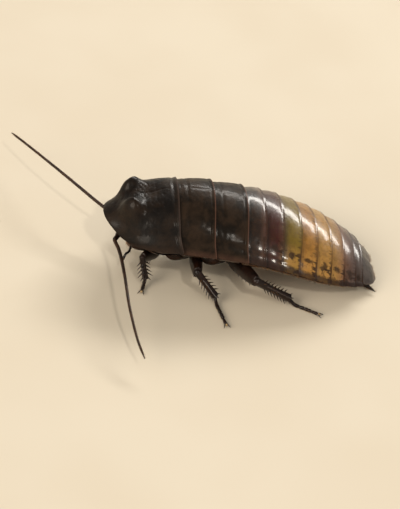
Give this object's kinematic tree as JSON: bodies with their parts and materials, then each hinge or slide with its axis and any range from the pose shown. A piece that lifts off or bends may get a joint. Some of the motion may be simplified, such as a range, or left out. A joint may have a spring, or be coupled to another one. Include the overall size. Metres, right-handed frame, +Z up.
{
  "type": "madagascar hissing cockroach",
  "caption": "Still, life-size model of an adult male hissing cockroach standing on six legs, with a horned pronotum, plated abdomen and long feelers.",
  "frame": {"origin": "centre of the model's box on the floor that the six feet stand on", "axes": "+Z up, -Y the way the head faces, +X the animal's left side"},
  "size_m": [0.0716, 0.0816, 0.0193],
  "materials": {
    "black_shell": "glossy near-black brown horn of the hood and head",
    "brown_shell": "glossy dark mahogany back plates and flanks",
    "amber_shell": "waxy amber abdomen plates with dark borders",
    "tail_shell": "satin grey-brown tail plates",
    "leg_shell": "glossy red-brown legs with thorns",
    "feeler": "matt ringed feelers and feet",
    "eye": "glossy black faceted eyes"
  },
  "bodies": {
    "root": {"abdomen": "amber_shell", "supra_anal_plate": "tail_shell", "cercus_left": "tail_shell", "cercus_right": "tail_shell", "pronotum": "black_shell", "mesonotum": "brown_shell", "metanotum": "brown_shell", "thorax": "brown_shell", "head": "black_shell", "eye_left": "eye", "eye_right": "eye", "palp_left": "leg_shell", "palp_right": "leg_shell", "antenna_left_base": "feeler", "antenna_left_whip": "feeler", "antenna_right_base": "feeler", "antenna_right_whip": "feeler", "leg_fore_left_coxa": "brown_shell", "leg_fore_left_femur": "leg_shell", "leg_fore_left_tibia": "leg_shell", "leg_fore_left_tarsus": "feeler", "leg_mid_left_coxa": "brown_shell", "leg_mid_left_femur": "leg_shell", "leg_mid_left_tibia": "leg_shell", "leg_mid_left_tarsus": "feeler", "leg_hind_left_coxa": "brown_shell", "leg_hind_left_femur": "leg_shell", "leg_hind_left_tibia": "leg_shell", "leg_hind_left_tarsus": "feeler", "leg_fore_right_coxa": "brown_shell", "leg_fore_right_femur": "leg_shell", "leg_fore_right_tibia": "leg_shell", "leg_fore_right_tarsus": "feeler", "leg_mid_right_coxa": "brown_shell", "leg_mid_right_femur": "leg_shell", "leg_mid_right_tibia": "leg_shell", "leg_mid_right_tarsus": "feeler", "leg_hind_right_coxa": "brown_shell", "leg_hind_right_femur": "leg_shell", "leg_hind_right_tibia": "leg_shell", "leg_hind_right_tarsus": "feeler"}
  },
  "joints": []
}
